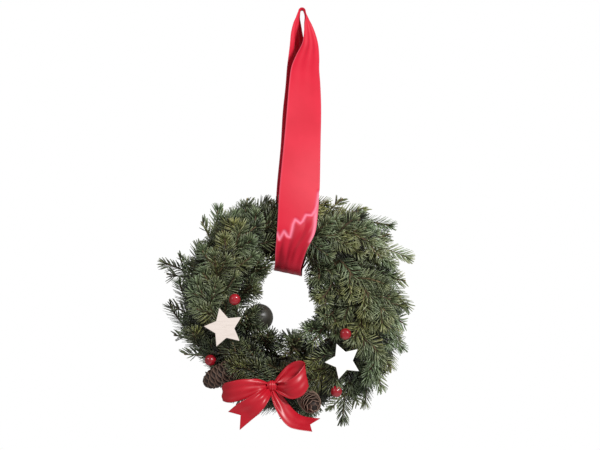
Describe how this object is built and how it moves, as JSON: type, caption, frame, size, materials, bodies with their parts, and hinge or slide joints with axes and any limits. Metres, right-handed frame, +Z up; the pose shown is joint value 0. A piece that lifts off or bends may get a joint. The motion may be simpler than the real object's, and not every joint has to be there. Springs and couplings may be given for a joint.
{
  "type": "christmas wreath",
  "caption": "Small fir wreath bound on a straw ring, with wooden stars, berries, cones, a ball and a red satin bow, hung in a loop of broad red ribbon.",
  "frame": {"origin": "inside top of the hanging ribbon's loop, where it rests on its hook", "axes": "+Z up, the decorated front faces -Y, +X to the viewer's right"},
  "size_m": [0.2977, 0.0946, 0.4839],
  "materials": {
    "fir": "waxy needles",
    "straw": "dry straw",
    "wire": "green lacquer",
    "satin": "satin weave",
    "wood": "whitewashed",
    "berry": "gloss lacquer",
    "cone": "natural scales",
    "ball": "satin matt"
  },
  "bodies": {
    "root": {"straw_ring": "straw", "binding_wire": "wire", "hanging_ribbon": "satin", "bow": "satin", "bow_tie_wire": "wire", "star_left": "wood", "star_right": "wood", "star_left_pick": "wire", "star_right_pick": "wire", "berry_upper_left": "berry", "berry_lower_left": "berry", "berry_upper_right": "berry", "berry_lower_right": "berry", "ball": "ball", "ball_pick": "wire", "cone_left": "cone", "cone_right": "cone", "cone_left_pick": "wire", "cone_right_pick": "wire", "outer_spray_01": "fir", "outer_spray_02": "fir", "outer_spray_03": "fir", "outer_spray_04": "fir", "outer_spray_05": "fir", "outer_spray_06": "fir", "outer_spray_07": "fir", "outer_spray_08": "fir", "outer_spray_09": "fir", "outer_spray_10": "fir", "outer_spray_11": "fir", "outer_spray_12": "fir", "outer_spray_13": "fir", "outer_spray_14": "fir", "outer_spray_15": "fir", "outer_spray_16": "fir", "outer_spray_17": "fir", "outer_spray_18": "fir", "outer_spray_19": "fir", "outer_spray_20": "fir", "outer_spray_21": "fir", "outer_spray_22": "fir", "front_spray_01": "fir", "front_spray_02": "fir", "front_spray_03": "fir", "front_spray_04": "fir", "front_spray_05": "fir", "front_spray_06": "fir", "front_spray_07": "fir", "front_spray_08": "fir", "front_spray_09": "fir", "front_spray_10": "fir", "inner_spray_01": "fir", "inner_spray_02": "fir", "inner_spray_03": "fir", "inner_spray_04": "fir", "inner_spray_05": "fir", "inner_spray_06": "fir", "inner_spray_07": "fir", "inner_spray_08": "fir", "inner_spray_09": "fir"}
  },
  "joints": []
}
